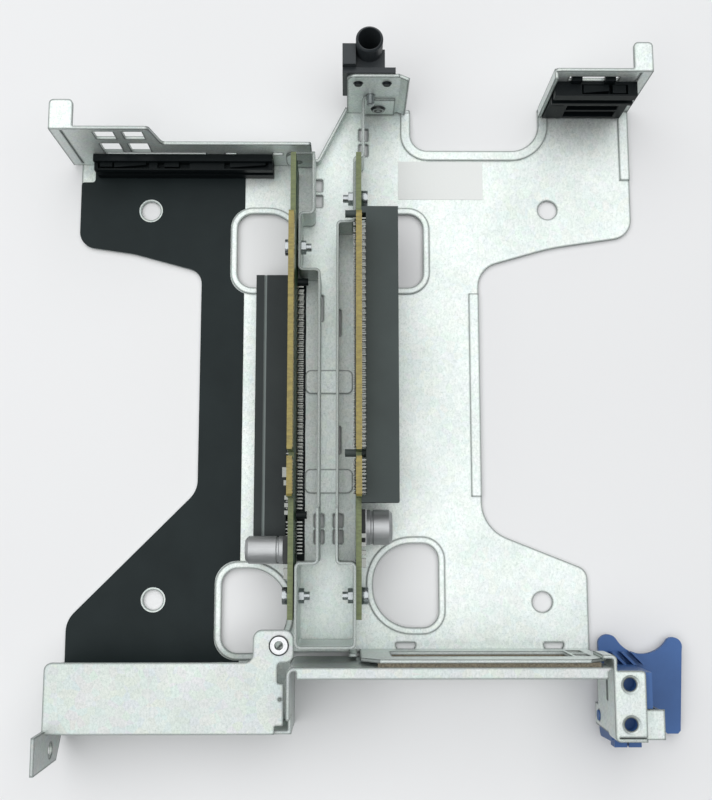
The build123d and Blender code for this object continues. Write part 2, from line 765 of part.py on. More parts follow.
# Latch bracket, one folded sheet
plate_corners = [(plate_x0, plate_near_y), (plate_x1, plate_near_y), (plate_x1, plate_far_y),
                 (plate_x0, plate_far_y)]
side_x = plate_x0 + bracket_t / 2
rear_strip_y = plate_near_y - rear_slit - bracket_t / 2
with BuildPart() as latch_bracket:
    slab(plate_corners, [0.5, 1.0, 1.0, 0.6], plate_top - bracket_t, plate_top)
    # Side wall, the flange that lies on the near wall, and the strip behind
    ribbon([(side_x - flange_l, side_far_y - bracket_t / 2), (side_x, side_far_y - bracket_t / 2),
            (side_x, rear_strip_y), (wing_right_x, rear_strip_y)], 0.9, bracket_t, rear_low, wing_top)
    ribbon([(side_x - flange_l, side_far_y - bracket_t / 2), (side_x, side_far_y - bracket_t / 2),
            (side_x, rear_strip_y), (plate_x1, rear_strip_y)], 0.9, bracket_t, wing_top, plate_top)
    ribbon([(side_x - flange_l, side_far_y - bracket_t / 2), (side_x, side_far_y - bracket_t / 2),
            (side_x, plate_far_y)], 0.9, bracket_t, flange_low, rear_low)
    block(plate_x0, plate_x0 + bracket_t, plate_near_y, plate_far_y, side_low, rear_low)
    block(plate_x0, plate_x0 + bracket_t, plate_near_y, ear_y, ear_low, side_low)
    # Lower wing that carries the outer ear
    block(plate_x1 - bracket_t, plate_x1, plate_near_y, wing_far_y, wing_top - bracket_t, plate_top)
    block(plate_x1, wing_right_x, rear_strip_y, wing_far_y, wing_top - bracket_t, wing_top)
    block(wing_right_x - bracket_t, wing_right_x, plate_near_y, ear_y, ear_low, wing_top)
    for ear_x in (plate_x0, wing_right_x - bracket_t):
        rod(ear_x, ear_x + bracket_t, pivot_y, pivot_z, pivot_r + pivot_fit, Mode.SUBTRACT)
    # Slot in the side wall
    block(plate_x0, plate_x0 + bracket_t, -57.6, -51.6, 18.8, 20.6, Mode.SUBTRACT)
    # Dimpled holes in the plate
    for y in (dimple_far_y, dimple_near_y):
        with BuildSketch(Plane.XY.offset(plate_top)) as dimple_mouth:
            with Locations((dimple_x, y)):
                Circle(dimple_r)
        with BuildSketch(Plane.XY.offset(plate_top - dimple_drop)) as dimple_floor:
            with Locations((dimple_x, y)):
                Circle(dimple_hole_r)
        loft([dimple_mouth.sketch.face(), dimple_floor.sketch.face()], mode=Mode.SUBTRACT)
        drill([(dimple_x, y)], dimple_hole_r, plate_top - bracket_t, plate_top)
latch_bracket.part.label = "latch_bracket"
export_step(latch_bracket.part, "parts/latch_bracket.step")

# Retention latch: body, paddle with a thumb hollow, rear prongs and axle
body_x0 = plate_x0 + bracket_t + latch_gap
body_top = plate_top - bracket_t - latch_gap
body_under_wing = wing_top - bracket_t - latch_gap
body_step_x = plate_x1 - bracket_t - latch_gap
with BuildPart() as retention_latch:
    block(body_x0, body_right_x, body_near_y, body_far_y, body_low, body_under_wing)
    block(body_x0, body_step_x, body_near_y, body_far_y, body_under_wing, body_top)
    block(body_step_x, body_right_x, wing_far_y + latch_gap, body_far_y, body_under_wing, body_top)
    # Hollow under the body, open to the table
    block(body_x0 + latch_wall, body_right_x - latch_wall, pivot_y + hollow_gap, body_far_y - latch_wall,
          body_low, body_under_wing - latch_wall, Mode.SUBTRACT)
    # Blind holes under the dimples of the plate
    blind_places = [(dimple_x, dimple_far_y), (dimple_x, dimple_near_y)]
    drill(blind_places, dimple_hole_r + 0.3, body_top - blind_depth, body_top)
    # Heel behind the pivot, and its two prongs
    with BuildSketch(Plane.YZ.offset(body_x0)) as heel:
        with BuildLine():
            FilletPolyline((body_near_y + 1.0, body_low), (body_near_y + 1.0, heel_top + 1.0),
                           (body_near_y, heel_top + 1.0), (heel_y + 0.8, heel_top), (heel_y, body_low),
                           radius=[0.1, 0.1, 0.1, 1.6, heel_radius], close=True)
        make_face()
    extrude(heel.sketch, amount=body_right_x - body_x0)
    for i in range(2):
        x0 = prong_x + i * (prong_w + prong_gap)
        block(x0, x0 + prong_w, heel_y - prong_l, heel_y + 1.0, prong_low, prong_low + prong_t)
    # Axle
    rod(plate_x0 - axle_proud, wing_right_x + axle_proud, pivot_y, pivot_z, pivot_r)
    # Paddle
    with BuildSketch(Plane.XY.offset(body_low)) as paddle:
        with BuildLine():
            lobe = Polyline((body_x0, -56.0), (body_x0, -42.9))
            nose = ThreePointArc(lobe @ 1, (85.9, -40.7), (88.4, -42.0))
            scoop = ThreePointArc(nose @ 1, (96.4, -46.5), (104.0, -42.2))
            tip = ThreePointArc(scoop @ 1, (107.0, -41.9), (108.3, -45.0))
            Polyline(tip @ 1, (107.0, -69.0), (106.2, -69.9), (103.0, -69.9), (102.2, -69.0),
                     (98.0, -62.0), (96.5, -57.0), (body_right_x, -56.0), (body_x0, -56.0))
        make_face()
    extrude(paddle.sketch, amount=paddle_t)
    # Slanted ribs between the paddle and the body
    for i in range(rib_count):
        rib_x = body_x0 + i * rib_pitch
        with BuildSketch(Plane.XY.offset(body_low + paddle_t)) as rib_foot:
            with BuildLine():
                Polyline((rib_x, body_far_y + rib_lean), (rib_x + rib_t, body_far_y + rib_lean),
                         (rib_x + rib_lean + rib_t, body_far_y), (rib_x + rib_lean, body_far_y), close=True)
            make_face()
        extrude(rib_foot.sketch, amount=body_low + paddle_t)
retention_latch.part.label = "retention_latch"
export_step(retention_latch.part, "parts/retention_latch.step")


def make_board(x_mid, side, far_screw_y, leads_y):
    """Outline, holes and key notch of one riser board."""
    x0 = x_mid - half_board
    outline = [
        (board_near_y, board_bottom), (board_far_y, board_bottom), (board_far_y, board_top),
        (tongue_l, board_top), (tongue_l, tongue_top - tongue_corner), (tongue_l - tongue_corner, tongue_top),
        (key_from + key_w, tongue_top), (key_from + key_w, board_top), (key_from, board_top),
        (key_from, tongue_top), (tongue_corner, tongue_top), (0, tongue_top - tongue_corner),
        (0, board_top), (board_near_y, board_top),
    ]
    with BuildSketch(Plane.YZ.offset(x0)) as face:
        with BuildLine():
            Polyline(*outline, close=True)
        make_face()
    extrude(face.sketch, amount=board_t)
    for y in (near_screw_y, far_screw_y):
        rod(x0, x0 + board_t, y, screw_z, screw_r + screw_fit, Mode.SUBTRACT)
    slot_z = left_slot_z if side < 0 else right_slot_z
    for y in (leads_y + peg_offset, leads_y + peg_offset + peg_spacing):
        rod(x0, x0 + board_t, y, slot_z, peg_r + peg_fit, Mode.SUBTRACT)


# Riser boards
with BuildPart() as left_riser_board:
    make_board(board_left_x, -1, left_far_screw_y, left_slot_y)
left_riser_board.part.label = "left_riser_board"
export_step(left_riser_board.part, "parts/left_riser_board.step")

with BuildPart() as right_riser_board:
    make_board(board_right_x, 1, right_far_screw_y, right_slot_y)
right_riser_board.part.label = "right_riser_board"
export_step(right_riser_board.part, "parts/right_riser_board.step")


def make_pads(x_mid):
    """Gold pads on both faces of one tongue."""
    short_run = [pad_margin + pad_pitch * i for i in range(int((key_from - pad_margin) / pad_pitch))]
    long_from = key_from + key_w + pad_margin
    long_run = [long_from + pad_pitch * i for i in range(int((tongue_l - long_from) / pad_pitch))]
    pad_z = tongue_top - pad_top_gap - pad_h / 2
    places = [(y + pad_w / 2, pad_z) for y in short_run + long_run]
    for face_x in (x_mid - half_board - pad_t, x_mid + half_board):
        with BuildSketch(Plane.YZ.offset(face_x)) as area:
            with Locations(*places):
                Rectangle(pad_w, pad_h)
        extrude(area.sketch, amount=pad_t)


with BuildPart() as left_edge_contacts:
    make_pads(board_left_x)
left_edge_contacts.part.label = "left_edge_contacts"
export_step(left_edge_contacts.part, "parts/left_edge_contacts.step")

with BuildPart() as right_edge_contacts:
    make_pads(board_right_x)
right_edge_contacts.part.label = "right_edge_contacts"
export_step(right_edge_contacts.part, "parts/right_edge_contacts.step")


def make_slot(face_x, side, y0, z_mid):
    """Housing of one slot: body, two card mouths and two pegs. Side is the way it faces."""
    x_near = face_x + side * slot_standoff
    x_far = x_near + side * slot_depth
    block(min(x_near, x_far), max(x_near, x_far), y0, y0 + slot_l, z_mid - slot_w / 2, z_mid + slot_w / 2)
    mouth_x = x_far - side * slot_mouth_depth
    short_y0 = y0 + slot_end_wall
    long_y0 = short_y0 + slot_short_l + slot_key_w
    for m0, m1 in ((short_y0, short_y0 + slot_short_l), (long_y0, y0 + slot_l - slot_end_wall)):
        block(min(mouth_x, x_far), max(mouth_x, x_far), m0, m1, z_mid - slot_mouth_w / 2,
              z_mid + slot_mouth_w / 2, Mode.SUBTRACT)
    # Shallow line along the outer face, near the mouth
    line_x = x_far - side * slot_line_in
    top_z = z_mid - side * slot_w / 2
    line_z = top_z + side * slot_line_d
    block(line_x - slot_line_w / 2, line_x + slot_line_w / 2, y0, y0 + slot_l, min(top_z, line_z),
          max(top_z, line_z), Mode.SUBTRACT)
    # End feet that stand on the board
    for f0 in (y0, y0 + slot_l - 2.0):
        block(min(face_x, x_near), max(face_x, x_near), f0, f0 + 2.0, z_mid - slot_w / 2, z_mid + slot_w / 2)
    for y in (y0 + peg_offset, y0 + peg_offset + peg_spacing):
        tail_x = face_x - side * (board_t + peg_proud)
        rod(min(x_near, tail_x), max(x_near, tail_x), y, z_mid, peg_r)


with BuildPart() as left_slot:
    make_slot(left_board_out, -1, left_slot_y, left_slot_z)
left_slot.part.label = "left_slot"
export_step(left_slot.part, "parts/left_slot.step")

with BuildPart() as right_slot:
    make_slot(right_board_out, 1, right_slot_y, right_slot_z)
right_slot.part.label = "right_slot"
export_step(right_slot.part, "parts/right_slot.step")


def make_leads(face_x, side, y0, z_mid, proud):
    """Contact leads between housing and board, and their tails behind the board."""
    pitch = (slot_l - 2 * slot_end_wall) / (lead_count + 1)
    places = []
    for row, dz in enumerate(lead_rows):
        stagger = pitch / 2 * (row % 2)
        for i in range(lead_count):
            y = y0 + slot_end_wall + pitch * (i + 0.6) + stagger
            pegs = (y0 + peg_offset, y0 + peg_offset + peg_spacing)
            if all(abs(y - peg) > peg_r + 0.5 for peg in pegs):
                places.append((y, z_mid + dz))
    tail_x = face_x - side * (board_t + proud)
    board_back = face_x - side * board_t
    x_near = face_x + side * slot_standoff
    for x0, x1 in ((tail_x, board_back), (face_x, x_near)):
        with BuildSketch(Plane.YZ.offset(min(x0, x1))) as area:
            with Locations(*places):
                Rectangle(lead_w, lead_w)
        extrude(area.sketch, amount=abs(x1 - x0))


with BuildPart() as left_slot_pins:
    make_leads(left_board_out, -1, left_slot_y, left_slot_z, left_lead_proud)
left_slot_pins.part.label = "left_slot_pins"
export_step(left_slot_pins.part, "parts/left_slot_pins.step")

with BuildPart() as right_slot_pins:
    make_leads(right_board_out, 1, right_slot_y, right_slot_z, right_lead_proud)
right_slot_pins.part.label = "right_slot_pins"
export_step(right_slot_pins.part, "parts/right_slot_pins.step")


def make_can(face_x, side, y, z_mid, r, length):
    """Aluminium can with a groove, standing on a square plastic foot against the board."""
    foot_x = face_x + side * can_foot_t
    end_x = face_x + side * length
    block(min(face_x, foot_x), max(face_x, foot_x), y - r, y + r, z_mid - r, z_mid + r)
    with BuildSketch(Plane.XY.offset(z_mid)) as half:
        with BuildLine():
            Polyline((foot_x, y), (foot_x, y + r), (foot_x + side * 1.2, y + r),
                     (foot_x + side * 1.5, y + r - 0.4), (foot_x + side * 1.9, y + r - 0.4),
                     (foot_x + side * 2.2, y + r),
                     (end_x - side * can_edge, y + r), (end_x, y + r - can_edge), (end_x, y), (foot_x, y))
        make_face()
    revolve(half.sketch, axis=Axis((foot_x, y, z_mid), (1, 0, 0)))


with BuildPart() as left_capacitor:
    make_can(left_board_out, -1, left_can_y, left_can_z, left_can_r, left_can_l)
left_capacitor.part.label = "left_capacitor"
export_step(left_capacitor.part, "parts/left_capacitor.step")

with BuildPart() as right_capacitor:
    make_can(right_board_out, 1, right_can_y, right_can_z, right_can_r, right_can_l)
right_capacitor.part.label = "right_capacitor"
export_step(right_capacitor.part, "parts/right_capacitor.step")


def make_chips(face_x, side, chips):
    """Small moulded parts on a board face, each given by y, z, length along y, height and thickness."""
    for y, z, chip_l, chip_h, chip_t in chips:
        far_x = face_x + side * chip_t
        block(min(face_x, far_x), max(face_x, far_x), y - chip_l / 2, y + chip_l / 2, z - chip_h / 2,
              z + chip_h / 2)


# Small parts on the board faces
left_chip_list = [
    (0.2, 17.0, 1.3, 2.6, 1.2),
    (-2.0, 17.0, 1.3, 2.6, 1.2),
    (-4.2, 17.0, 1.3, 2.6, 1.2),
    (7.7, 16.5, 3.0, 4.0, 1.9),
    (4.6, 16.5, 1.6, 3.0, 1.5),
    (-22.0, 16.5, 3.2, 3.6, 1.3),
]
right_chip_list = [
    (-10.9, 18.4, 1.3, 2.4, 1.2),
    (-13.5, 18.4, 1.3, 2.4, 1.2),
    (-15.9, 18.4, 1.3, 2.4, 1.2),
    (-18.8, 17.4, 2.6, 3.6, 1.3),
]
with BuildPart() as left_board_chips:
    make_chips(left_board_out, -1, left_chip_list)
left_board_chips.part.label = "left_board_chips"
export_step(left_board_chips.part, "parts/left_board_chips.step")

with BuildPart() as right_board_chips:
    make_chips(right_board_out, 1, right_chip_list)
right_board_chips.part.label = "right_board_chips"
export_step(right_board_chips.part, "parts/right_board_chips.step")

# Board screws and their nuts; each place is face, way it faces, y, and the inner face of the strip
fastenings = [
    (left_board_out, -1, near_screw_y, box_left_x + strip_t / 2),
    (left_board_out, -1, left_far_screw_y, box_left_x + strip_t / 2),
    (right_board_out, 1, near_screw_y, box_right_x - strip_t / 2),
    (right_board_out, 1, right_far_screw_y, box_right_x - strip_t / 2),
]
with BuildPart() as board_screws:
    for face_x, side, y, seat_x in fastenings:
        end_x = seat_x - side * (nut_t + screw_proud)
        head_x = face_x + side * screw_head_t
        rod(min(face_x, end_x), max(face_x, end_x), y, screw_z, screw_r)
        rod(min(face_x, head_x), max(face_x, head_x), y, screw_z, screw_head_r)
        recess_x = head_x - side * socket_depth
        rod(min(head_x, recess_x), max(head_x, recess_x), y, screw_z, socket_r, Mode.SUBTRACT)
board_screws.part.label = "board_screws"
export_step(board_screws.part, "parts/board_screws.step")

with BuildPart() as board_nuts:
    for face_x, side, y, seat_x in fastenings:
        nut_x = seat_x - side * nut_t
        hexagon(min(seat_x, nut_x), max(seat_x, nut_x), y, screw_z, nut_r)
        rod(min(seat_x, nut_x), max(seat_x, nut_x), y, screw_z, screw_r + nut_fit, Mode.SUBTRACT)
board_nuts.part.label = "board_nuts"
export_step(board_nuts.part, "parts/board_nuts.step")

# Left card guide: moulded rail on the far wall, with a groove and sprung wedges
left_guide_back = far_left_y - base_t
left_guide_front = left_guide_back - guide_t
with BuildPart() as left_card_guide:
    block(left_guide_x0, left_guide_x1, left_guide_front, left_guide_back, left_guide_low, left_guide_high)
    block(left_guide_x0, left_guide_x1, left_guide_front, left_guide_front + groove_depth,
          left_slot_z - groove_w / 2, left_slot_z + groove_w / 2, Mode.SUBTRACT)
    # Front half of the rail is lower, with pockets that hold a block and sprung wedges
    left_guide_mid = (left_guide_front + left_guide_back) / 2
    block(left_guide_x0, left_guide_x1, left_guide_front, left_guide_mid, left_bar_top, left_guide_high,
          Mode.SUBTRACT)
    pocket_floor = left_slot_z + groove_w / 2 + pocket_floor_t
    for x0, x1 in ((-72.4, -56.2), (-53.6, -43.4), (-32.4, -18.4)):
        block(x0, x1, left_guide_front + arm_t / 2, left_guide_mid, pocket_floor, left_bar_top, Mode.SUBTRACT)
    block(-71.8, -67.8, left_guide_front + arm_t, left_guide_mid, pocket_floor, left_bar_top + 0.3)
    block(-51.4, -46.8, left_guide_front + arm_t, left_guide_mid, pocket_floor, left_bar_top + 0.2)
    for x0, x1 in ((-67.2, -57.2), (-30.6, -19.4)):
        with BuildSketch(Plane.XY.offset(pocket_floor)) as wedge:
            with BuildLine():
                Polyline((x0, left_guide_mid - wedge_rise), (x1, left_guide_mid - wedge_tip),
                         (x1, left_guide_mid), (x0, left_guide_mid), close=True)
            make_face()
        extrude(wedge.sketch, amount=left_bar_top + 0.3 - pocket_floor)
    # Pegs through the wall
    with BuildSketch(Plane.XZ.offset(-left_guide_back)) as guide_pegs:
        with Locations(*[(x, guide_peg_z) for x in peg_xs]):
            Circle(guide_peg_r)
    extrude(guide_pegs.sketch, amount=-(base_t + hook_t))
left_card_guide.part.label = "left_card_guide"
export_step(left_card_guide.part, "parts/left_card_guide.step")

# Right card guide: taller rail with its groove near the top
right_guide_back = far_right_y - base_t
right_guide_front = right_guide_back - guide_t
with BuildPart() as right_card_guide:
    block(right_guide_x0, right_guide_x1, right_guide_front, right_guide_back, right_guide_low,
          right_guide_high)
    block(right_guide_x0, right_guide_x1, right_guide_front, right_guide_front + groove_depth,
          right_slot_z - groove_w / 2, right_slot_z + groove_w / 2, Mode.SUBTRACT)
    # Frame above the groove, with a wedge and a block inside
    frame_floor = right_slot_z + groove_w / 2 + pocket_floor_t
    block(78.6, 92.6, right_guide_front + arm_t / 2, right_guide_back - arm_t, frame_floor, right_guide_high,
          Mode.SUBTRACT)
    block(88.0, 92.2, right_guide_front + arm_t, right_guide_back - arm_t, frame_floor, right_guide_high - 0.4)
    with BuildSketch(Plane.XY.offset(frame_floor)) as right_wedge:
        with BuildLine():
            Polyline((79.0, right_guide_front + arm_t), (87.0, right_guide_front + arm_t + wedge_tip),
                     (87.0, right_guide_back - arm_t), (79.0, right_guide_back - arm_t), close=True)
        make_face()
    extrude(right_wedge.sketch, amount=right_guide_high - 0.3 - frame_floor)
    # The lower half stands back
    waist_y = right_guide_front + right_guide_set_back
    block(right_guide_x0, right_guide_x1, right_guide_front, waist_y, right_guide_low, right_guide_waist_z,
          Mode.SUBTRACT)
    # Long recesses between thin shelves, below the groove
    for z0, z1 in ((3.4, 7.4), (8.6, 11.6), (12.8, 16.6)):
        block(76.6, 92.8, right_guide_front, right_guide_back - arm_t, z0, z1, Mode.SUBTRACT)
    block(71.4, 75.4, right_guide_front, waist_y + arm_t, 11.8, 16.0, Mode.SUBTRACT)
    # Hooks through the window in the wall
    for x0 in (75.0, 85.2):
        block(x0, x0 + 3.2, right_guide_back - arm_t, right_guide_back, right_guide_high, 26.6)
        block(x0, x0 + 3.2, right_guide_back - arm_t, far_right_y + hook_t, 25.0, 26.6)
right_card_guide.part.label = "right_card_guide"
export_step(right_card_guide.part, "parts/right_card_guide.step")

# Guide post: tapered tube with a block that is riveted to the centre flange
foot_y = far_centre_y + post_foot_t
with BuildPart() as guide_post:
    block(post_block_x0, post_foot_x1, far_centre_y, foot_y, post_foot_low, post_foot_high)
    block(post_block_x0, post_block_x1, foot_y, post_y, post_foot_low, post_shelf_high)
    block(post_block_x0, post_x - post_r, foot_y, post_y, post_shelf_high, post_block_high)
    with BuildSketch(Plane.XZ.offset(-post_y)) as post_half:
        with BuildLine():
            Polyline((post_x, post_low), (post_x + post_low_r, post_low), (post_x + post_r, post_low + 6.0),
                     (post_x + post_r, post_top - 0.5), (post_x + post_r - 0.5, post_top), (post_x, post_top),
                     close=True)
        make_face()
    revolve(post_half.sketch, axis=Axis((post_x, post_y, 0), (0, 0, 1)))
    drill([(post_x, post_y)], post_bore_r, post_low + 2.0, post_top)
    with BuildSketch(Plane.XZ.offset(-far_centre_y)) as rivet_holes:
        with Locations(*[(x, rivet_z) for x in rivet_xs], (post_screw_x, post_screw_z)):
            Circle(rivet_r)
    extrude(rivet_holes.sketch, amount=-post_foot_t, mode=Mode.SUBTRACT)
guide_post.part.label = "guide_post"
export_step(guide_post.part, "parts/guide_post.step")


def make_rivet(x, z, y_head, y_end, r, head_r):
    """Rivet along Y: a domed head on the near side and a shank."""
    with BuildSketch(Plane.XZ.offset(-y_head)) as shank:
        with Locations((x, z)):
            Circle(r)
    extrude(shank.sketch, amount=-(y_end - y_head))
    with BuildSketch(Plane.XZ.offset(-y_head)) as head_foot:
        with Locations((x, z)):
            Circle(head_r)
    extrude(head_foot.sketch, amount=rivet_head_t, taper=30)


# Rivets of the post, and of the strip frame on the far centre flange
with BuildPart() as post_rivets:
    for x in rivet_xs:
        make_rivet(x, rivet_z, far_centre_y - base_t, foot_y, rivet_r, rivet_head_r)
post_rivets.part.label = "post_rivets"
export_step(post_rivets.part, "parts/post_rivets.step")

with BuildPart() as frame_rivet:
    make_rivet(frame_rivet_x, frame_rivet_z, far_centre_y - base_t - strip_t, far_centre_y, frame_rivet_r,
               frame_rivet_head_r)
frame_rivet.part.label = "frame_rivet"
export_step(frame_rivet.part, "parts/frame_rivet.step")

# Screw end that stands out of the centre flange
with BuildPart() as post_screw:
    screw_end_y = far_centre_y - base_t - post_screw_l
    with BuildSketch(Plane.XZ.offset(-screw_end_y)) as screw_end:
        with Locations((post_screw_x, post_screw_z)):
            Circle(rivet_r)
    extrude(screw_end.sketch, amount=-(foot_y - screw_end_y))
    chamfer(post_screw.faces().sort_by(Axis.Y)[0].edges(), length=0.3)
post_screw.part.label = "post_screw"
export_step(post_screw.part, "parts/post_screw.step")
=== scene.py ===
import math
import bmesh
import bpy
from mathutils import Matrix, Vector


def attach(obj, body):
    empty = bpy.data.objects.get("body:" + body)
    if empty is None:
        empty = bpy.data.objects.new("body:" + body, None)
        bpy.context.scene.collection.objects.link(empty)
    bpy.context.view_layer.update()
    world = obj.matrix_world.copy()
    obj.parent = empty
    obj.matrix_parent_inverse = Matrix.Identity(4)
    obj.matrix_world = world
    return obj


MM = 0.001
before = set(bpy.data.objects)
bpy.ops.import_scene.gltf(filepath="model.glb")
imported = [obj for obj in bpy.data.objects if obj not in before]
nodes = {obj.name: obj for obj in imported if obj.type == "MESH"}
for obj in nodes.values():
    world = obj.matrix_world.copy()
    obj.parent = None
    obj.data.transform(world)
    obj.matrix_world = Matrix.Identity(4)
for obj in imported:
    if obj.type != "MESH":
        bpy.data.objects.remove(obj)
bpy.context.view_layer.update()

# Camera in the part's frame: millimetres, degrees, and pixels of the photograph
CAMERA_PLACE = (6.7, -12.3, 326.3)
CAMERA_PITCH = 7.69
CAMERA_YAW = -0.47
CAMERA_ROLL = 0.05
SENSOR = 24.0
FOCAL_PIXELS = 1039.6
FRAME_HEIGHT = 800.0
CLIP_START = 0.01

# Lights: watts, and metres in the part's frame
KEY_POWER = 34.0
KEY_SIZE = 2.6
KEY_PLACE = (-0.15, 0.35, 1.3)
FILL_POWER = 1.0
FILL_SIZE = 0.8
FILL_PLACE = (-0.7, -0.5, 0.7)
WORLD_LEVEL = 0.17
WORLD_TINT = (0.93, 0.96, 1.0)
LAMP_TARGET = (0, 0.03, 0)

# Colours, linear
STEEL = (0.79, 0.835, 0.81)
STEEL_SHADE = (0.69, 0.74, 0.715)
# painted shade laid on the narrow cut edges of the sheet
CUT_EDGE_SHADE = (0.20, 0.225, 0.215)
STREAK_SHADE = (0.66, 0.70, 0.69)
FLECK_SHADE = (0.62, 0.66, 0.65)
PLAIN = (1.0, 1.0, 1.0)
FILM = (0.005, 0.011, 0.012)
FILM_SHEEN = (0.010, 0.018, 0.019)
FOAM = (0.27, 0.235, 0.165)
FOAM_SHADE = (0.21, 0.185, 0.13)
FOAM_PORE = (0.10, 0.09, 0.07)
BLUE = (0.055, 0.135, 0.345)
BLACK = (0.004, 0.007, 0.008)
POST_BLACK = (0.03, 0.036, 0.04)
CHIP_BLACK = (0.05, 0.045, 0.04)
SLOT_GREY = (0.052, 0.068, 0.066)
SLOT_BLACK = (0.020, 0.028, 0.028)
SLOT_SHADE = (0.013, 0.019, 0.020)
MASK_GREEN = (0.035, 0.095, 0.04)
TRACE_GREEN = (0.05, 0.13, 0.05)
MASK_GAP = (0.03, 0.08, 0.035)
LAMINATE = (0.155, 0.19, 0.075)
LAMINATE_SHADE = (0.105, 0.13, 0.05)
TONGUE_EDGE = (0.33, 0.265, 0.065)
TONGUE_SHADE = (0.22, 0.175, 0.045)
GOLD = (0.80, 0.60, 0.22)
TIN = (0.25, 0.26, 0.245)
ZINC = (0.42, 0.45, 0.46)
RIVET_BLACK = (0.02, 0.024, 0.026)
INSERT_BRIGHT = (0.66, 0.67, 0.68)
INSERT_SHADE = (0.54, 0.55, 0.56)
RING_BRIGHT = (0.42, 0.45, 0.44)
RING_GROOVE_SHADE = (0.05, 0.055, 0.055)
CAN = (0.52, 0.535, 0.54)
CAN_SHADE = (0.43, 0.44, 0.445)
PAPER = (0.82, 0.84, 0.82)
PAPER_SHADE = (0.77, 0.79, 0.775)
TABLE_TONE = (0.84, 0.845, 0.85)
TABLE_SHADE = (0.80, 0.805, 0.81)
GROOVE_HIGHLIGHT = (0.20, 0.235, 0.23)
INSERT_PAINTED_SHADE = (0.035, 0.038, 0.038)
CAN_FOOT = (0.015, 0.017, 0.018)
BOUNCE_GREY = (0.42, 0.42, 0.42)

# Places that the materials follow, in millimetres, and the reading of a sheet's cut edges
CUT_DEPTH = 0.65
CUT_SAMPLES = 6
CUT_LIGHT = (0.92, 0.70)
LEFT_GROOVE_X = -18.8
GROOVE_HALF = 0.42
INSERT_X = -13.0
INSERT_Y = -42.3
INSERT_BORE_R = 1.3
INSERT_GROOVE_R = 2.5
FRAME_RIVET_X = 16.5
FRAME_RIVET_Z = 6.2
RIVET_RING_PITCH = 1.3
TONGUE_TOP_Z = 30.4
CAN_MIDDLE_X = -0.1
CAN_FOOT_HALF = 12.2

# Brightness of the galvanised sheet against STEEL: the cage's, and the rear bracket's darker copy of the
# same steel, which is painted shade
CAGE_LIGHT = 1.04
BRACKET_PAINTED_SHADE = 0.85

# Slots and boards, as the part's source has them, in millimetres
SLOT_LENGTH = 89.0
SLOT_END_WALL = 1.75
SLOT_STARTS = {"left": -19.2, "right": -1.3}
SLOT_MIDDLES = {"left": 5.8, "right": 19.4}
MOUTHS = {"left": -13.7, "right": 13.9}
BOARD_BACKS = {"left": -9.05, "right": 9.25}
BOARD_FACES = {"left": -10.65, "right": 10.85}
OUTWARD = {"left": -1, "right": 1}


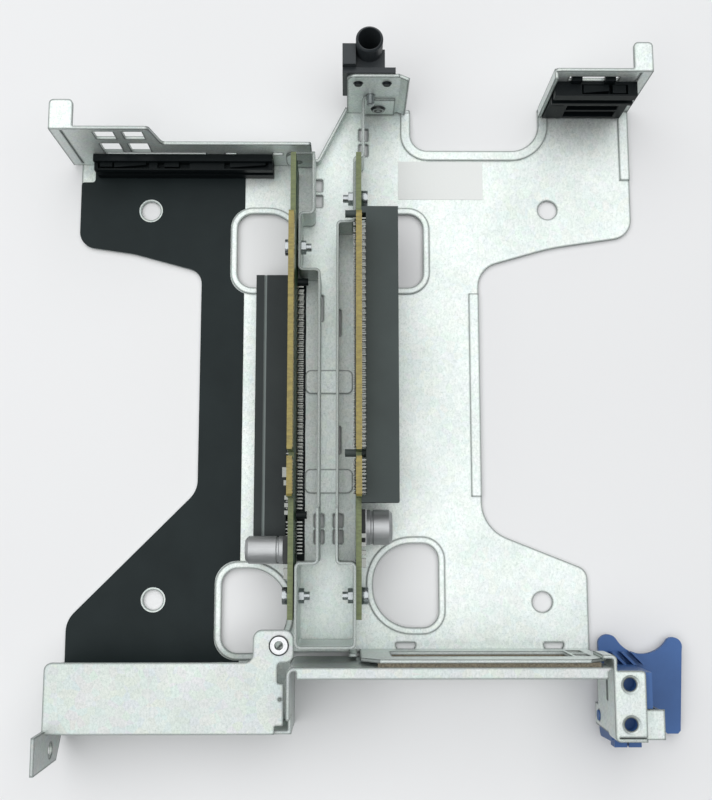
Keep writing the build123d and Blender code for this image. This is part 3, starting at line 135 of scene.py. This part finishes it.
class Graph:
    """A material's node tree, with short calls for the nodes that the materials share."""

    def __init__(self, name):
        self.material = bpy.data.materials.new(name)
        self.material.use_nodes = True
        self.tree = self.material.node_tree
        self.tree.nodes.clear()
        self.output = self.add("ShaderNodeOutputMaterial")
        self.shader = self.add("ShaderNodeBsdfPrincipled")
        self.link(self.shader.outputs["BSDF"], self.output.inputs["Surface"])
        self.place = self.add("ShaderNodeNewGeometry")

    def add(self, kind):
        return self.tree.nodes.new(kind)

    def link(self, a, b):
        self.tree.links.new(a, b)

    def noise(self, scale, detail=4.0, roughness=0.55, stretch=(1, 1, 1)):
        mapping = self.add("ShaderNodeMapping")
        mapping.inputs["Scale"].default_value = stretch
        self.link(self.place.outputs["Position"], mapping.inputs["Vector"])
        node = self.add("ShaderNodeTexNoise")
        node.inputs["Scale"].default_value = scale
        node.inputs["Detail"].default_value = detail
        node.inputs["Roughness"].default_value = roughness
        self.link(mapping.outputs["Vector"], node.inputs["Vector"])
        return node.outputs["Fac"]

    def cells(self, scale):
        node = self.add("ShaderNodeTexVoronoi")
        node.inputs["Scale"].default_value = scale
        self.link(self.place.outputs["Position"], node.inputs["Vector"])
        return node

    def ramp(self, fac, stops):
        node = self.add("ShaderNodeValToRGB")
        elements = node.color_ramp.elements
        elements[0].position, elements[0].color = stops[0][0], (*stops[0][1], 1)
        elements[1].position, elements[1].color = stops[-1][0], (*stops[-1][1], 1)
        for at, colour in stops[1:-1]:
            elements.new(at).color = (*colour, 1)
        self.link(fac, node.inputs["Fac"])
        return node.outputs["Color"]

    def mix(self, fac, a, b, blend="MIX"):
        node = self.add("ShaderNodeMix")
        node.data_type = "RGBA"
        node.blend_type = blend
        for source, socket in ((fac, node.inputs["Factor"]), (a, node.inputs["A"]), (b, node.inputs["B"])):
            if isinstance(source, (int, float)):
                socket.default_value = source
            elif isinstance(source, tuple):
                socket.default_value = (*source, 1)
            else:
                self.link(source, socket)
        return node.outputs["Result"]

    def math(self, kind, a, b=0.0):
        node = self.add("ShaderNodeMath")
        node.operation = kind
        for source, socket in zip((a, b), node.inputs):
            if isinstance(source, (int, float)):
                socket.default_value = source
            else:
                self.link(source, socket)
        return node.outputs["Value"]

    def axis(self, which, source="Position"):
        node = self.add("ShaderNodeSeparateXYZ")
        self.link(self.place.outputs[source], node.inputs["Vector"])
        return node.outputs[which]

    def off_axis(self, first, first_place, second, second_place):
        """Distance from an axis of the part that two of its coordinates, in millimetres, give."""
        a = self.math("SUBTRACT", self.axis(first), first_place * MM)
        b = self.math("SUBTRACT", self.axis(second), second_place * MM)
        return self.math("SQRT", self.math("ADD", self.math("MULTIPLY", a, a), self.math("MULTIPLY", b, b)))

    def bump(self, height, strength, distance=0.0002):
        node = self.add("ShaderNodeBump")
        node.inputs["Strength"].default_value = strength
        node.inputs["Distance"].default_value = distance
        self.link(height, node.inputs["Height"])
        self.link(node.outputs["Normal"], self.shader.inputs["Normal"])

    def cut_edge(self, depth):
        """One on the narrow faces where sheet was cut, nought on its broad faces."""
        node = self.add("ShaderNodeAmbientOcclusion")
        node.inside = True
        node.only_local = True
        node.samples = CUT_SAMPLES
        node.inputs["Distance"].default_value = depth
        scale = self.add("ShaderNodeMapRange")
        scale.inputs["From Min"].default_value = CUT_LIGHT[0]
        scale.inputs["From Max"].default_value = CUT_LIGHT[1]
        self.link(node.outputs["AO"], scale.inputs["Value"])
        return scale.outputs["Result"]

    def colour(self, source):
        self.link(source, self.shader.inputs["Base Color"])

    def roughness(self, fac, low, high):
        node = self.add("ShaderNodeMapRange")
        node.inputs["To Min"].default_value = low
        node.inputs["To Max"].default_value = high
        self.link(fac, node.inputs["Value"])
        self.link(node.outputs["Result"], self.shader.inputs["Roughness"])

    def set(self, **values):
        for name, value in values.items():
            self.shader.inputs[name.replace("_", " ")].default_value = value


def steel_material(name, light):
    """Galvanised sheet: faint spangle, fine grain, small flecks, and painted shade darkening its cut edges.
    """
    g = Graph(name)
    shade = tuple(c * light for c in STEEL_SHADE)
    bright = tuple(c * light for c in STEEL)
    spangle = g.cells(420).outputs["Color"]
    cloud = g.noise(38, 5)
    streak = g.noise(1500, 4, 0.75, (1, 0.62, 1))
    fleck = g.noise(2600, 2, 0.6)
    base = g.ramp(cloud, [(0.3, shade), (0.62, bright)])
    tinted = g.mix(0.10, base, spangle, "SOFT_LIGHT")
    grain = g.ramp(streak, [(0.32, STREAK_SHADE), (0.62, PLAIN)])
    tinted = g.mix(0.75, tinted, grain, "MULTIPLY")
    flecks = g.ramp(fleck, [(0.28, FLECK_SHADE), (0.46, PLAIN)])
    tinted = g.mix(0.6, tinted, flecks, "MULTIPLY")
    # painted shade: the narrow cut edges are darkened, in place of the highlight their rounding catches
    g.colour(g.mix(g.cut_edge(CUT_DEPTH * MM), tinted, CUT_EDGE_SHADE))
    g.roughness(streak, 0.38, 0.58)
    g.bump(streak, 0.05)
    g.set(Metallic=0.7)
    return g.material


def film_material():
    """Matt black film with slow waves and a fine grain."""
    g = Graph("film")
    wave = g.noise(55, 3)
    grain = g.noise(2600, 2)
    g.colour(g.ramp(wave, [(0.3, FILM), (0.75, FILM_SHEEN)]))
    g.roughness(grain, 0.42, 0.6)
    g.bump(g.math("ADD", wave, g.math("MULTIPLY", grain, 0.15)), 0.25, 0.0003)
    g.set(Specular_IOR_Level=0.2)
    return g.material


def foam_material():
    """Open foam with darker pores."""
    g = Graph("foam")
    pores = g.cells(2400).outputs["Distance"]
    cloud = g.noise(300, 4)
    g.colour(g.mix(pores, g.ramp(cloud, [(0.3, FOAM_SHADE), (0.7, FOAM)]), FOAM_PORE))
    g.bump(pores, 0.5, 0.0003)
    g.set(Roughness=0.9)
    return g.material


def plastic_material(name, colour, rough, shine=0.3):
    """Moulded plastic: fine spark-eroded grain with faint flow marks."""
    g = Graph(name)
    grain = g.noise(3200, 2)
    flow = g.noise(70, 4)
    lighter = tuple(min(1.0, c * 1.35 + 0.004) for c in colour)
    darker = tuple(c * 0.8 for c in colour)
    base = g.ramp(flow, [(0.3, darker), (0.7, colour)])
    g.colour(g.mix(g.math("MULTIPLY", grain, 0.12), base, lighter))
    g.roughness(grain, rough - 0.06, rough + 0.1)
    g.bump(grain, 0.12)
    g.set(Specular_IOR_Level=shine)
    return g.material


def slot_material():
    """Housing of the left slot: black plastic with a painted highlight, a paler line along its groove."""
    g = Graph("slot_plastic")
    grain = g.noise(3200, 2)
    flow = g.noise(70, 4)
    plain = g.ramp(flow, [(0.3, SLOT_SHADE), (0.7, SLOT_BLACK)])
    # painted highlight: a paler line along the groove's edge
    from_groove = g.math("ABSOLUTE", g.math("SUBTRACT", g.axis("X"), LEFT_GROOVE_X * MM))
    highlit = g.math("LESS_THAN", from_groove, GROOVE_HALF * MM)
    g.colour(g.mix(g.math("MULTIPLY", highlit, 0.85), plain, GROOVE_HIGHLIGHT))
    g.roughness(grain, 0.42, 0.58)
    g.bump(grain, 0.12)
    g.set(Specular_IOR_Level=0.3)
    return g.material


def paper_material():
    """Bare white paper with faint fibres."""
    g = Graph("paper")
    fibre = g.noise(1800, 4, 0.7, (1, 3, 1))
    g.colour(g.ramp(fibre, [(0.3, PAPER_SHADE), (0.7, PAPER)]))
    g.bump(fibre, 0.1)
    g.set(Roughness=0.7)
    return g.material


def metal_material(name, colour, rough, scale=900):
    """Plated metal with a fine grain."""
    g = Graph(name)
    streak = g.noise(scale, 3, 0.6)
    darker = tuple(c * 0.82 for c in colour)
    g.colour(g.ramp(streak, [(0.3, darker), (0.7, colour)]))
    g.roughness(streak, rough - 0.07, rough + 0.1)
    g.bump(streak, 0.05)
    g.set(Metallic=0.9)
    return g.material


def insert_material():
    """Pressed insert: bright flange, with painted shade in the groove round it and in its threaded bore."""
    g = Graph("insert")
    radius = g.off_axis("X", INSERT_X, "Y", INSERT_Y)
    turned = g.noise(1400, 3, 0.6)
    bright = g.ramp(turned, [(0.3, INSERT_SHADE), (0.7, INSERT_BRIGHT)])
    # painted shade in the threaded bore and in the groove round the flange
    bore = g.math("LESS_THAN", radius, INSERT_BORE_R * MM)
    groove = g.math("GREATER_THAN", radius, INSERT_GROOVE_R * MM)
    g.colour(g.mix(g.math("MAXIMUM", bore, groove), bright, INSERT_PAINTED_SHADE))
    g.roughness(turned, 0.22, 0.38)
    g.bump(turned, 0.05)
    g.set(Metallic=0.9)
    return g.material


def ring_material():
    """Flush rivet: turned rings round its middle, with painted shade in the grooves."""
    g = Graph("ringed_rivet")
    radius = g.off_axis("X", FRAME_RIVET_X, "Z", FRAME_RIVET_Z)
    wave = g.math("SINE", g.math("MULTIPLY", radius, 2 * math.pi / (RIVET_RING_PITCH * MM)))
    # painted shade: the turned grooves are dark, the ridges bright
    g.colour(g.ramp(wave, [(0.2, RING_GROOVE_SHADE), (0.7, RING_BRIGHT)]))
    g.bump(wave, 0.4, 0.0002)
    g.set(Metallic=0.8)
    g.roughness(wave, 0.32, 0.46)
    return g.material


def board_material():
    """Laminate: green mask with traces on its faces, paler layers on its edges, yellow on the tongue's."""
    g = Graph("board")
    brick = g.add("ShaderNodeTexBrick")
    brick.inputs["Scale"].default_value = 420
    brick.inputs["Mortar Size"].default_value = 0.03
    brick.inputs["Color1"].default_value = (*TRACE_GREEN, 1)
    brick.inputs["Color2"].default_value = (*MASK_GREEN, 1)
    brick.inputs["Mortar"].default_value = (*MASK_GAP, 1)
    swap = g.add("ShaderNodeCombineXYZ")
    g.link(g.axis("Y"), swap.inputs["X"])
    g.link(g.axis("Z"), swap.inputs["Y"])
    g.link(swap.outputs["Vector"], brick.inputs["Vector"])
    layers = g.noise(900, 2, 0.5, (0.6, 2.0, 0.3))
    edge = g.ramp(layers, [(0.35, LAMINATE_SHADE), (0.65, LAMINATE)])
    high = g.math("GREATER_THAN", g.axis("Z"), TONGUE_TOP_Z * MM)
    edge = g.mix(high, edge, g.ramp(layers, [(0.35, TONGUE_SHADE), (0.65, TONGUE_EDGE)]))
    face = g.math("GREATER_THAN", g.math("ABSOLUTE", g.axis("X", "Normal")), 0.7)
    g.colour(g.mix(face, edge, brick.outputs["Color"]))
    g.roughness(layers, 0.32, 0.5)
    g.bump(brick.outputs["Fac"], 0.12, 0.0001)
    return g.material


def can_material():
    """Capacitor: satin can on a black plastic foot, which is the part nearest the middle."""
    g = Graph("can")
    streak = g.noise(900, 3, 0.6, (0.2, 1, 1))
    metal = g.ramp(streak, [(0.3, CAN_SHADE), (0.7, CAN)])
    off_centre = g.math("ABSOLUTE", g.math("SUBTRACT", g.axis("X"), CAN_MIDDLE_X * MM))
    foot = g.math("LESS_THAN", off_centre, CAN_FOOT_HALF * MM)
    g.colour(g.mix(foot, metal, CAN_FOOT))
    g.link(g.math("MULTIPLY", g.math("SUBTRACT", 1.0, foot), 0.85), g.shader.inputs["Metallic"])
    g.roughness(streak, 0.44, 0.6)
    g.bump(streak, 0.06)
    return g.material


def floor_material():
    """Pale table: bright where it is seen, duller where it lights the object from below."""
    g = Graph("table")
    g.set(Roughness=0.95)
    g.set(Specular_IOR_Level=0.0)
    path = g.add("ShaderNodeLightPath")
    seen = g.math("MAXIMUM", path.outputs["Is Camera Ray"], path.outputs["Is Glossy Ray"])
    seen = g.math("MAXIMUM", seen, path.outputs["Is Transmission Ray"])
    tone = g.ramp(g.noise(3, 2), [(0.3, TABLE_SHADE), (0.7, TABLE_TONE)])
    g.colour(g.mix(seen, BOUNCE_GREY, tone))
    return g.material


steel = steel_material("galvanised", CAGE_LIGHT)
black = plastic_material("black_plastic", BLACK, 0.42, 0.14)
MATERIALS = {
    "base_plate": steel,
    "left_far_wall": steel,
    "centre_flange": steel,
    "right_far_wall": steel,
    "near_wall": steel,
    "centre_frame": steel,
    # the rear bracket gets a darker copy of the cage's steel, painted shade
    "rear_bracket": steel_material("galvanised_painted_shade", BRACKET_PAINTED_SHADE),
    "latch_bracket": steel,
    "insulator_film": film_material(),
    "label": paper_material(),
    "shelf_insert": insert_material(),
    "gasket": foam_material(),
    "retention_latch": plastic_material("blue_plastic", BLUE, 0.40),
    "left_riser_board": board_material(),
    "left_edge_contacts": metal_material("gold", GOLD, 0.25),
    "left_slot": slot_material(),
    "right_slot": plastic_material("slot_plastic_pale", SLOT_GREY, 0.55),
    "left_slot_pins": metal_material("tinned", TIN, 0.16, 2400),
    "left_capacitor": can_material(),
    "left_board_chips": plastic_material("chip", CHIP_BLACK, 0.5),
    "board_screws": metal_material("zinc", ZINC, 0.20),
    "left_card_guide": black,
    "right_card_guide": black,
    "guide_post": plastic_material("post_plastic", POST_BLACK, 0.34),
    "post_rivets": metal_material("blackened_rivet", RIVET_BLACK, 0.4),
    "frame_rivet": ring_material(),
}
SHARED = {
    "right_riser_board": "left_riser_board",
    "right_edge_contacts": "left_edge_contacts",
    "right_slot_pins": "left_slot_pins",
    "right_capacitor": "left_capacitor",
    "right_board_chips": "left_board_chips",
    "board_nuts": "board_screws",
    "post_screw": "board_screws",
}
for name, source in SHARED.items():
    MATERIALS[name] = MATERIALS[source]


# Rounding of the sharp edges: widths in millimetres, the angle in degrees
WELD_GAP = 0.001
EDGE_SEGMENTS = 2
SHARP_ANGLE = 40
EDGE_WIDTHS = {
    "base_plate": 0.14,
    "left_far_wall": 0.16,
    "right_far_wall": 0.16,
    "centre_flange": 0.16,
    "near_wall": 0.16,
    "rear_bracket": 0.16,
    "latch_bracket": 0.16,
    "retention_latch": 0.22,
    "left_slot": 0.15,
    "right_slot": 0.15,
    "left_card_guide": 0.15,
    "right_card_guide": 0.15,
    "guide_post": 0.15,
    "board_screws": 0.18,
    "board_nuts": 0.14,
}


def dress(name, material):
    """Gives a CAD node its material."""
    node = nodes[name]
    if not node.material_slots:
        node.data.materials.append(material)
    for place in node.material_slots:
        place.material = material


def soften(name, width):
    """Rounds a CAD node's sharp edges a little, as pressed and moulded edges are."""
    node = nodes[name]
    weld = node.modifiers.new("weld", "WELD")
    weld.merge_threshold = WELD_GAP * MM
    edge = node.modifiers.new("soft_edge", "BEVEL")
    edge.width = width * MM
    edge.segments = EDGE_SEGMENTS
    edge.limit_method = "ANGLE"
    edge.angle_limit = math.radians(SHARP_ANGLE)
    edge.harden_normals = True


for name, material in MATERIALS.items():
    dress(name, material)
for name, width in EDGE_WIDTHS.items():
    soften(name, width)


def add_piece(name, mesh, material, body="cage"):
    """Makes a scene piece from a bmesh and ties it to a body of the part."""
    bmesh.ops.recalc_face_normals(mesh, faces=mesh.faces)
    data = bpy.data.meshes.new(name)
    mesh.to_mesh(data)
    mesh.free()
    piece = bpy.data.objects.new(name, data)
    bpy.context.collection.objects.link(piece)
    data.materials.append(material)
    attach(piece, body)


def skin(mesh, rings):
    """Closes a body over rings of points in millimetres, with a face on each end."""
    loops = [[mesh.verts.new(Vector(place) * MM) for place in ring] for ring in rings]
    for a, b in zip(loops, loops[1:]):
        for k in range(len(a)):
            follow = (k + 1) % len(a)
            mesh.faces.new((a[k], a[follow], b[follow], b[k]))
    mesh.faces.new(loops[0])
    mesh.faces.new(loops[-1][::-1])


def sweep(mesh, profile, y, width, thickness):
    """A flat strip that follows a profile in X and Z, given in millimetres."""
    rings = []
    for i, (x, z) in enumerate(profile):
        ahead = profile[min(i + 1, len(profile) - 1)]
        behind = profile[max(i - 1, 0)]
        run = Vector((ahead[0] - behind[0], ahead[1] - behind[1])).normalized()
        off = Vector((-run.y, run.x)) * thickness / 2
        corners = ((1, -width / 2), (1, width / 2), (-1, width / 2), (-1, -width / 2))
        rings.append([(x + side * off.x, y + dy, z + side * off.y) for side, dy in corners])
    skin(mesh, rings)


def cone(mesh, x0, x1, y, z, r0, r1, sides=9, waist=0.35, flare=0.6):
    """A small truncated cone along X, hollowed at its waist like a solder fillet."""
    rings = []
    angles = [2 * math.pi * k / sides for k in range(sides)]
    for t in (0.0, waist, 1.0):
        radius = r0 + (r1 - r0) * t ** flare
        x = x0 + (x1 - x0) * t
        rings.append([(x, y + radius * math.cos(angle), z + radius * math.sin(angle)) for angle in angles])
    skin(mesh, rings)


def wrap(mesh, low, high, cut):
    """A small metal end that wraps a chip, with its outer corners cut back."""
    (x0, y0, z0), (x1, y1, z1) = low, high
    outline = [
        (y0 + cut, z0), (y1 - cut, z0), (y1, z0 + cut), (y1, z1 - cut),
        (y1 - cut, z1), (y0 + cut, z1), (y0, z1 - cut), (y0, z0 + cut),
    ]
    skin(mesh, [[(x, y, z) for y, z in outline] for x in (x0, x1)])


def area_light(name, place, size, power):
    """A square soft light that points at the object."""
    data = bpy.data.lights.new(name, "AREA")
    data.size = size
    data.energy = power
    lamp = bpy.data.objects.new(name, data)
    bpy.context.collection.objects.link(lamp)
    lamp.location = place
    lamp.rotation_euler = (Vector(LAMP_TARGET) - Vector(place)).to_track_quat("-Z", "Y").to_euler()


# Springs in the mouths of the slots
SHORT_MOUTH = 11.7
SLOT_KEY = 1.9
SPRING_PITCH = 1.0
SPRING_WIDTH = 0.62
SPRING_THICKNESS = 0.14
SPRING_START = 0.6
SPRING_PROFILE = [(0.2, 0.86), (2.6, 0.78), (4.4, 0.50), (5.6, 0.34), (6.5, 0.44), (7.2, 0.72)]
gold = MATERIALS["left_edge_contacts"]
for side, out in OUTWARD.items():
    springs = bmesh.new()
    short_start = SLOT_STARTS[side] + SLOT_END_WALL
    long_start = short_start + SHORT_MOUTH + SLOT_KEY
    long_end = SLOT_STARTS[side] + SLOT_LENGTH - SLOT_END_WALL
    long_count = int(long_end - long_start - SPRING_START)
    places = [short_start + SPRING_START + i * SPRING_PITCH for i in range(int(SHORT_MOUTH))]
    places += [long_start + SPRING_START + i * SPRING_PITCH for i in range(long_count)]
    for y in places:
        for face in (-1, 1):
            profile = [(MOUTHS[side] + out * x, SLOT_MIDDLES[side] + face * z) for x, z in SPRING_PROFILE]
            sweep(springs, profile, y, SPRING_WIDTH, SPRING_THICKNESS)
    add_piece(side + "_slot_springs", springs, gold)

# Thin black strip on the floor under the leads of the left board: painted shade, put where there is only
# shade between the leads
STRIP_X = (-9.0, -6.5)
STRIP_Y = (-18.6, 69.4)
STRIP_Z = (1.005, 1.10)
STRIP_STEPS = 44
STRIP_WAVE = 0.04
STRIP_TURN = 0.9
shade_strip = bmesh.new()
rows = []
for i in range(STRIP_STEPS + 1):
    y = STRIP_Y[0] + (STRIP_Y[1] - STRIP_Y[0]) * i / STRIP_STEPS
    right = STRIP_X[1] + STRIP_WAVE * math.sin(i * STRIP_TURN)
    low, high = STRIP_Z
    rows.append([(STRIP_X[0], y, low), (right, y, low), (right, y, high), (STRIP_X[0], y, high)])
skin(shade_strip, rows)
add_piece("lead_painted_shade", shade_strip, MATERIALS["insulator_film"])

# Solder fillets where the leads come through the boards
LEAD_COUNT = 40
LEAD_ROWS = (-3.2, -1.2, 1.2, 3.2)
LEAD_START = 0.6
PEGS = (14.6, 87.75)
PEG_CLEAR = 1.75
FILLET_R = 0.62
FILLET_TIP_R = 0.27
FILLET_H = 0.55
solder = MATERIALS["left_slot_pins"]
pitch = (SLOT_LENGTH - 2 * SLOT_END_WALL) / (LEAD_COUNT + 1)
for side, out in OUTWARD.items():
    fillets = bmesh.new()
    base = BOARD_BACKS[side]
    tip = base - out * FILLET_H
    for row, dz in enumerate(LEAD_ROWS):
        for i in range(LEAD_COUNT):
            along = SLOT_END_WALL + pitch * (i + LEAD_START) + pitch / 2 * (row % 2)
            if all(abs(along - peg) > PEG_CLEAR for peg in PEGS):
                y = SLOT_STARTS[side] + along
                cone(fillets, base, tip, y, SLOT_MIDDLES[side] + dz, FILLET_R, FILLET_TIP_R)
    add_piece(side + "_solder", fillets, solder)

# Metal ends of the small board parts: y, z, length along y, height, thickness
CHIPS = {
    "left": [
        (0.2, 17.0, 1.3, 2.6, 1.2),
        (-2.0, 17.0, 1.3, 2.6, 1.2),
        (-4.2, 17.0, 1.3, 2.6, 1.2),
        (7.7, 16.5, 3.0, 4.0, 1.9),
        (4.6, 16.5, 1.6, 3.0, 1.5),
        (-22.0, 16.5, 3.2, 3.6, 1.3),
    ],
    "right": [
        (-10.9, 18.4, 1.3, 2.4, 1.2),
        (-13.5, 18.4, 1.3, 2.4, 1.2),
        (-15.9, 18.4, 1.3, 2.4, 1.2),
        (-18.8, 17.4, 2.6, 3.6, 1.3),
    ],
}
END_GROW = 0.04
END_SHARE = 0.24
END_CUT = 0.08
for side, out in OUTWARD.items():
    ends = bmesh.new()
    for y, z, chip_l, chip_h, chip_t in CHIPS[side]:
        xs = sorted((BOARD_FACES[side], BOARD_FACES[side] + out * (chip_t + END_GROW)))
        half_l = chip_l / 2 + END_GROW
        half_h = chip_h / 2 + END_GROW
        end_h = chip_h * END_SHARE
        for z0, z1 in ((z - half_h, z - half_h + end_h), (z + half_h - end_h, z + half_h)):
            wrap(ends, (xs[0], y - half_l, z0), (xs[1], y + half_l, z1), END_CUT)
    add_piece(side + "_chip_ends", ends, solder)

# Small gussets between the paddle and the body of the latch
GUSSET_YS = (-50.6, -53.6, -56.6)
GUSSET_T = 0.7
GUSSET_PROFILE = [(92.4, 3.9), (95.2, 3.9), (94.9, 5.0), (93.2, 13.5), (92.4, 14.2)]
gussets = bmesh.new()
for y in GUSSET_YS:
    faces = (y - GUSSET_T / 2, y + GUSSET_T / 2)
    skin(gussets, [[(x, face, z) for x, z in GUSSET_PROFILE] for face in faces])
add_piece("latch_gussets", gussets, MATERIALS["retention_latch"], "latch")

# Table: its size in metres, and the gap under the part in millimetres
TABLE_SIZE = 6.0
TABLE_GAP = 0.1
TABLE_CELLS = 4
table_place = (0, 0, -TABLE_GAP * MM)
bpy.ops.mesh.primitive_grid_add(
    x_subdivisions=TABLE_CELLS, y_subdivisions=TABLE_CELLS, size=TABLE_SIZE, location=table_place)
table = bpy.context.object
table.name = "table"
table.data.materials.append(floor_material())

# Lamps and sky
area_light("key", KEY_PLACE, KEY_SIZE, KEY_POWER)
area_light("fill", FILL_PLACE, FILL_SIZE, FILL_POWER)
world = bpy.data.worlds.new("studio")
bpy.context.scene.world = world
world.use_nodes = True
sky = world.node_tree.nodes["Background"]
sky.inputs["Color"].default_value = (*WORLD_TINT, 1)
sky.inputs["Strength"].default_value = WORLD_LEVEL

# Camera
camera_data = bpy.data.cameras.new("camera")
camera_data.sensor_fit = "VERTICAL"
camera_data.sensor_height = SENSOR
camera_data.lens = SENSOR * FOCAL_PIXELS / FRAME_HEIGHT
camera_data.clip_start = CLIP_START
camera = bpy.data.objects.new("camera", camera_data)
bpy.context.collection.objects.link(camera)
turn = Matrix.Rotation(math.radians(CAMERA_PITCH), 4, "X")
turn = turn @ Matrix.Rotation(math.radians(CAMERA_YAW), 4, "Y")
turn = turn @ Matrix.Rotation(math.radians(CAMERA_ROLL), 4, "Z")
camera.matrix_world = Matrix.Translation(Vector(CAMERA_PLACE) * MM) @ turn
bpy.context.scene.camera = camera
bpy.context.scene.view_settings.view_transform = "Standard"
